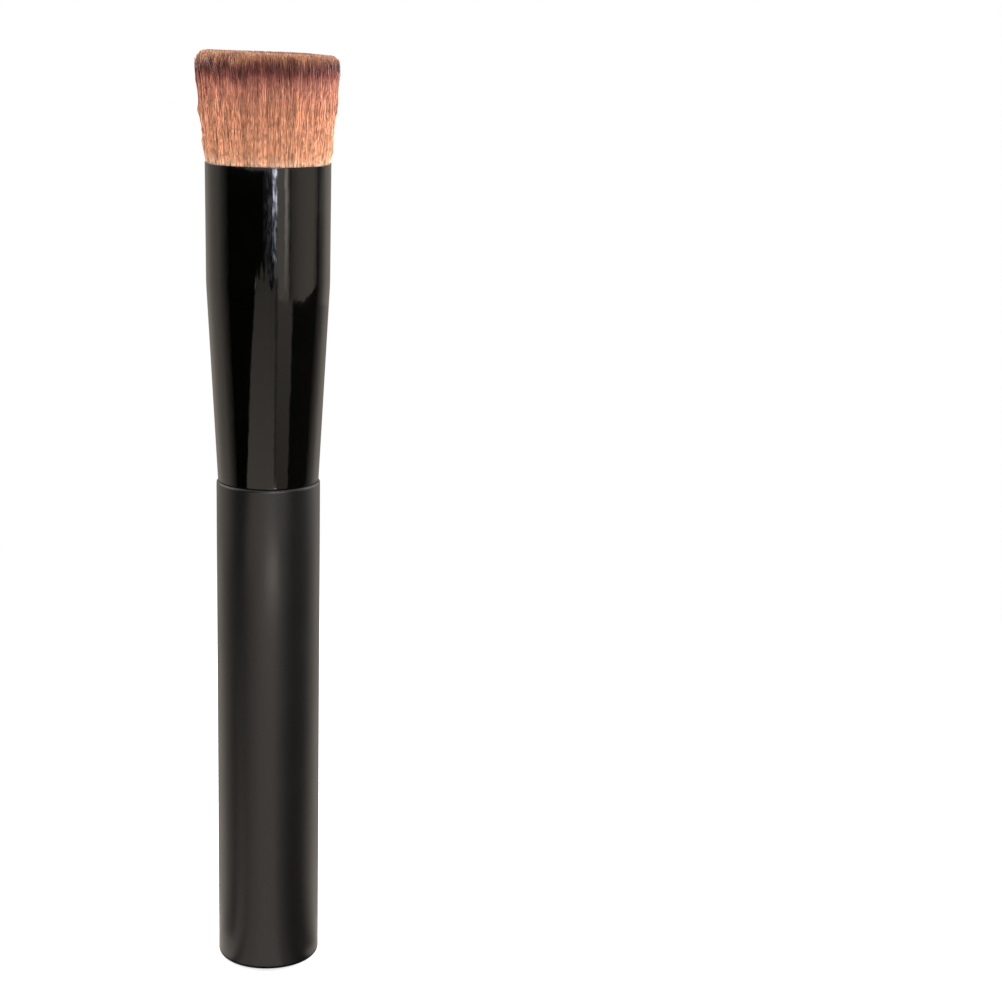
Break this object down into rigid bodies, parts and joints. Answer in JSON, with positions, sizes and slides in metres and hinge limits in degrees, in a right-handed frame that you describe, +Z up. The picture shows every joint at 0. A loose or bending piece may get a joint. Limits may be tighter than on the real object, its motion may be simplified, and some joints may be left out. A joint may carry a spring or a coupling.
{
  "type": "liquid foundation brush",
  "caption": "Round makeup brush with a metal handle, a tapered ferrule and flared fibres cut flat round a well that holds liquid foundation.",
  "frame": {"origin": "centre of the flat foot of the handle, on the surface that the brush stands on", "axes": "+Z up the brush from the foot to the fibres, -Y towards the side that the picture shows, +X to its right"},
  "size_m": [0.0208, 0.0208, 0.1399],
  "materials": {
    "handle": "matte",
    "ferrule": "gloss",
    "fibre": "satin",
    "core": "matte",
    "steel": "satin"
  },
  "bodies": {
    "root": {"handle_sleeve": "handle", "handle_core": "core", "balance_weight": "steel", "ferrule": "ferrule", "binding_ring": "steel", "centre_tuft": "fibre", "bristle_sector_01": "fibre", "bristle_sector_02": "fibre", "bristle_sector_03": "fibre", "bristle_sector_04": "fibre", "bristle_sector_05": "fibre", "bristle_sector_06": "fibre", "bristle_sector_07": "fibre", "bristle_sector_08": "fibre", "bristle_sector_09": "fibre", "bristle_sector_10": "fibre", "bristle_sector_11": "fibre", "bristle_sector_12": "fibre"}
  },
  "joints": []
}
